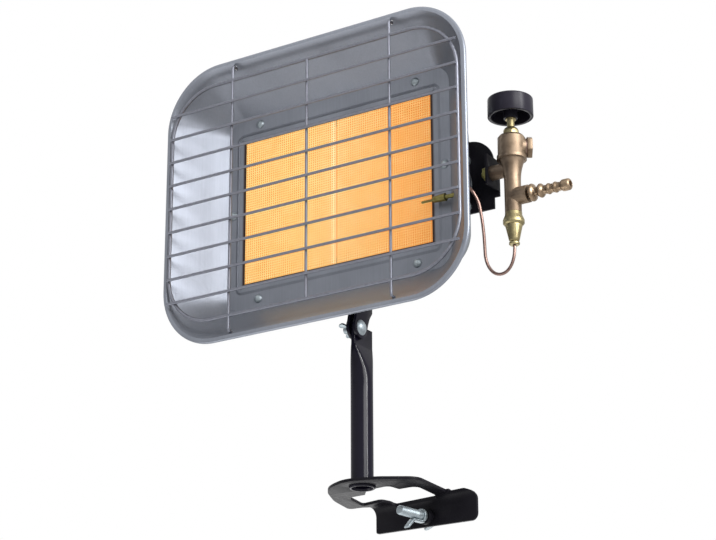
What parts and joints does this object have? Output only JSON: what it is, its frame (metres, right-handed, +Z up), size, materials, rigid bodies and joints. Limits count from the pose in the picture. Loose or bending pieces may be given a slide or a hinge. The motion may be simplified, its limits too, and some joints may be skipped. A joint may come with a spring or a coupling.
{
  "type": "gas patio heater",
  "caption": "Bottle-mounted gas radiant heater: wire-guarded reflector with ceramic tiles on a tilting post, side valve with knob and hose tail, and a forked clamp plate.",
  "frame": {"origin": "the post's axis at the underside of the base plate, where the plate rests on the gas bottle's collar", "axes": "+Z up along the post, -Y the way the radiant head faces, +X towards the valve"},
  "size_m": [0.3563, 0.1687, 0.4089],
  "materials": {
    "black_paint_matt": "matt black stove paint",
    "black_paint_gloss": "semi-gloss black powder coat",
    "zinc_steel": "bright zinc plate",
    "reflector_steel": "bright aluminised steel",
    "plated_wire": "nickel plated",
    "galvanised_steel": "galvanised",
    "ceramic_fibre": "pressed fibre",
    "burner_ceramic": "perforated ceramic, glowing",
    "machined_brass": "turned",
    "cast_bronze": "hot pressed, bead blasted",
    "turned_bronze": "turned",
    "nitrile_rubber": "moulded",
    "phenolic": "moulded black",
    "spring_steel": "bright drawn",
    "copper": "drawn copper"
  },
  "bodies": {
    "base": {"base_plate": "black_paint_matt", "post": "black_paint_gloss", "clamp_boss": "black_paint_matt"},
    "claw": {"clamp_claw": "zinc_steel"},
    "clamp_screw": {"clamp_screw": "zinc_steel"},
    "head": {"pivot_bracket": "black_paint_gloss", "pivot_screws": "zinc_steel", "pivot_bolt": "zinc_steel", "reflector": "reflector_steel", "wire_guard": "plated_wire", "reflector_screws": "zinc_steel", "reflector_nuts": "zinc_steel", "burner_box": "galvanised_steel", "box_gasket": "ceramic_fibre", "tile_tray": "galvanised_steel", "tile_seal": "ceramic_fibre", "tile_left": "burner_ceramic", "tile_right": "burner_ceramic", "mixing_tube": "galvanised_steel", "injector": "machined_brass", "valve_bracket": "black_paint_matt", "bracket_screws": "zinc_steel", "valve_body": "cast_bronze", "gland_nut": "machined_brass", "gland_ring": "nitrile_rubber", "return_spring": "spring_steel", "side_plug": "cast_bronze", "plug_washer": "copper", "hose_tail": "turned_bronze", "magnet_unit": "spring_steel", "magnet_collar": "machined_brass", "lead_nut": "machined_brass", "thermocouple_lead": "copper", "thermocouple_probe": "machined_brass", "probe_strap": "galvanised_steel", "probe_nut": "machined_brass"},
    "washer": {"pivot_washer": "zinc_steel"},
    "wing_nut": {"wing_nut": "zinc_steel"},
    "plunger": {"push_pin": "machined_brass"},
    "knob": {"spindle": "machined_brass", "knob": "phenolic"}
  },
  "joints": [
    {"name": "head_tilt", "type": "hinge", "parent": "base", "child": "head", "pos_m": [0, -0.0075, 0.1355], "axis": [1, 0, 0], "range_deg": [-45, 45]},
    {"name": "washer_slide", "type": "slide", "parent": "head", "child": "washer", "axis": [-1, 0, 0], "range_m": [0, 0.002]},
    {"name": "wing_nut_turn", "type": "hinge", "parent": "washer", "child": "wing_nut", "pos_m": [0, -0.0075, 0.1355], "axis": [-1, 0, 0], "range_deg": [0, 720]},
    {"name": "knob_press", "type": "slide", "parent": "head", "child": "plunger", "axis": [0, 0, -1], "range_m": [0, 0.004], "stiffness_N_per_m": 600, "springref_m": -0.005, "deforming": ["return_spring"]},
    {"name": "knob_turn", "type": "hinge", "parent": "plunger", "child": "knob", "pos_m": [0.1505, -0.002, 0.293], "axis": [0, 0, 1], "range_deg": [0, 270]},
    {"name": "claw_slide", "type": "slide", "parent": "base", "child": "claw", "axis": [-0.1392, -0.9903, 0], "range_m": [0, 0.006]},
    {"name": "clamp_screw_turn", "type": "hinge", "parent": "claw", "child": "clamp_screw", "pos_m": [0.0241, 0.0673, -0.0164], "axis": [-0.1392, -0.9903, 0], "range_deg": [0, 1728]}
  ],
  "couplings": [
    {"joint": "wing_nut_turn", "follows": "washer_slide", "rad_per_m": 6283.2},
    {"joint": "clamp_screw_turn", "follows": "claw_slide", "rad_per_m": 5026.5}
  ]
}
